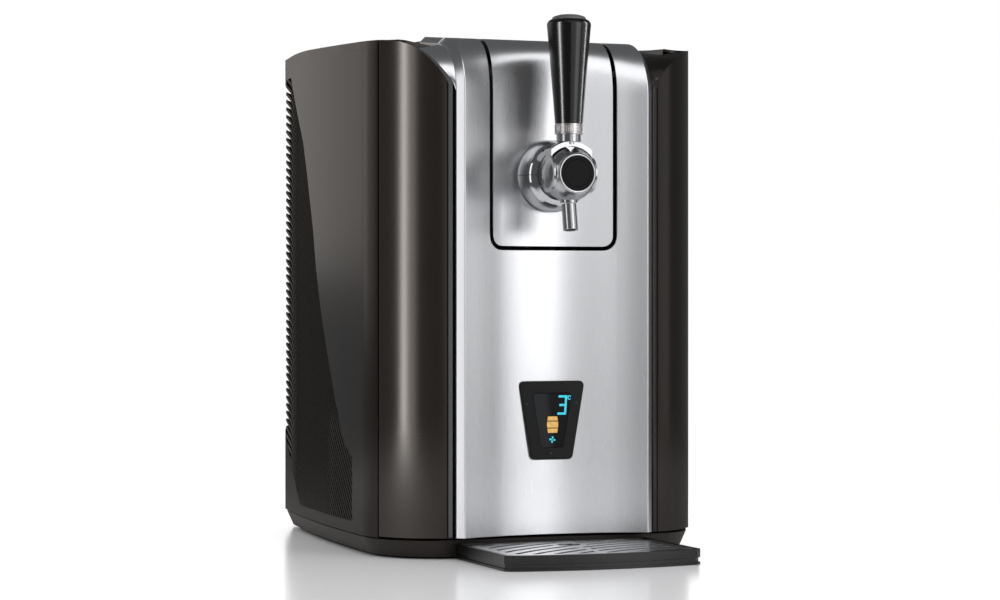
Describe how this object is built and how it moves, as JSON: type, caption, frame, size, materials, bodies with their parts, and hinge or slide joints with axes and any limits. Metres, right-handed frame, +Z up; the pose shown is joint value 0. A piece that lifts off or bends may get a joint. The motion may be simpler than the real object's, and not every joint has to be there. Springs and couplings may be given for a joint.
{
  "type": "mini keg beer dispenser",
  "caption": "Counter-top cooler for a small beer keg, with a swing door, a lift-up tap lid, a lever tap, a display window and a pull-out drip tray.",
  "frame": {"origin": "on the floor, under the middle of the whole object's box", "axes": "+X to the right as seen from the front, +Y to the rear, +Z up; the tap and the drip tray face -Y"},
  "size_m": [0.301, 0.504, 0.459],
  "materials": {
    "brown_casing": "satin moulded casing",
    "steel_front": "vertically brushed",
    "chrome": "polished",
    "black_gloss": "gloss",
    "black_plastic": "fine texture",
    "white_plastic": "smooth",
    "foam": "rigid foam",
    "aluminium": "plain",
    "rubber": "matt",
    "board": "lacquered board",
    "hose": "translucent",
    "screen": "gloss",
    "plated_collar": "satin plated",
    "handle_end": "satin"
  },
  "bodies": {
    "cabinet": {"base_plinth": "black_plastic", "rubber_feet": "rubber", "left_side_panel": "brown_casing", "right_side_panel": "brown_casing", "left_vent_louvres": "black_plastic", "right_vent_louvres": "black_plastic", "top_cover": "brown_casing", "left_top_trim": "steel_front", "right_top_trim": "steel_front", "rear_panel": "brown_casing", "rear_grille": "black_plastic", "case_screws": "aluminium", "front_frame": "black_plastic", "hinge_brackets": "aluminium", "hinge_pins": "chrome", "latch_strike": "aluminium", "chamber_liner": "white_plastic", "chamber_insulation": "foam", "keg_stand": "black_plastic", "air_coupler": "black_plastic", "air_pump": "black_plastic", "air_hose": "hose", "thermoelectric_module": "white_plastic", "cold_sink": "aluminium", "cold_fan_frame": "black_plastic", "hot_sink": "aluminium", "hot_fan_frame": "black_plastic", "power_supply": "aluminium", "control_board": "board", "mains_inlet": "black_plastic", "lid_hinge_pin": "chrome"},
    "door": {"door_skin": "steel_front", "left_door_cheek": "brown_casing", "right_door_cheek": "brown_casing", "door_core": "foam", "door_liner": "white_plastic", "door_gasket": "rubber", "door_latch": "black_gloss", "display_bezel": "black_gloss", "display_screen": "screen", "display_board": "board"},
    "tap_lid": {"lid_skin": "steel_front", "lid_core": "foam", "tap_flange": "chrome", "tap_body": "chrome", "tap_nut": "chrome", "badge_ring": "aluminium", "tap_badge": "black_gloss", "spout": "chrome", "pinch_anvil": "black_plastic", "pivot_pin": "chrome"},
    "tap_lever": {"lever_saddle": "chrome", "handle_ferrule": "plated_collar", "handle_grip": "black_gloss", "handle_cap": "handle_end"},
    "pinch": {"pinch_bar": "aluminium"},
    "drip_tray": {"drip_tray": "black_plastic"},
    "drip_grid": {"drip_grid": "steel_front"},
    "cold_fan": {"cold_fan_rotor": "black_plastic"},
    "hot_fan": {"hot_fan_rotor": "black_plastic"}
  },
  "joints": [
    {"name": "door_hinge", "type": "hinge", "parent": "cabinet", "child": "door", "pos_m": [-0.1325, -0.095, 0.2], "axis": [0, 0, -1], "range_deg": [0, 95]},
    {"name": "lid_hinge", "type": "hinge", "parent": "cabinet", "child": "tap_lid", "pos_m": [0, -0.044, 0.44387], "axis": [-1, 0, 0], "range_deg": [0, 60]},
    {"name": "lever_pivot", "type": "hinge", "parent": "tap_lid", "child": "tap_lever", "pos_m": [0, -0.1645, 0.3245], "axis": [1, 0, 0], "range_deg": [0, 30]},
    {"name": "pinch_slide", "type": "slide", "parent": "tap_lid", "child": "pinch", "axis": [0, -1, 0], "range_m": [0, 0.00301]},
    {"name": "tray_slide", "type": "slide", "parent": "cabinet", "child": "drip_tray", "axis": [0, -1, 0], "range_m": [0, 0.12]},
    {"name": "grid_lift", "type": "slide", "parent": "drip_tray", "child": "drip_grid", "axis": [0, 0, 1], "range_m": [0, 0.05]},
    {"name": "cold_fan_spin", "type": "hinge", "parent": "cabinet", "child": "cold_fan", "pos_m": [0, 0.109, 0.26], "axis": [0, -1, 0], "continuous": true},
    {"name": "hot_fan_spin", "type": "hinge", "parent": "cabinet", "child": "hot_fan", "pos_m": [0, 0.195, 0.26], "axis": [0, -1, 0], "continuous": true}
  ],
  "couplings": [
    {"joint": "pinch_slide", "follows": "lever_pivot", "m_per_rad": 0.00573}
  ]
}
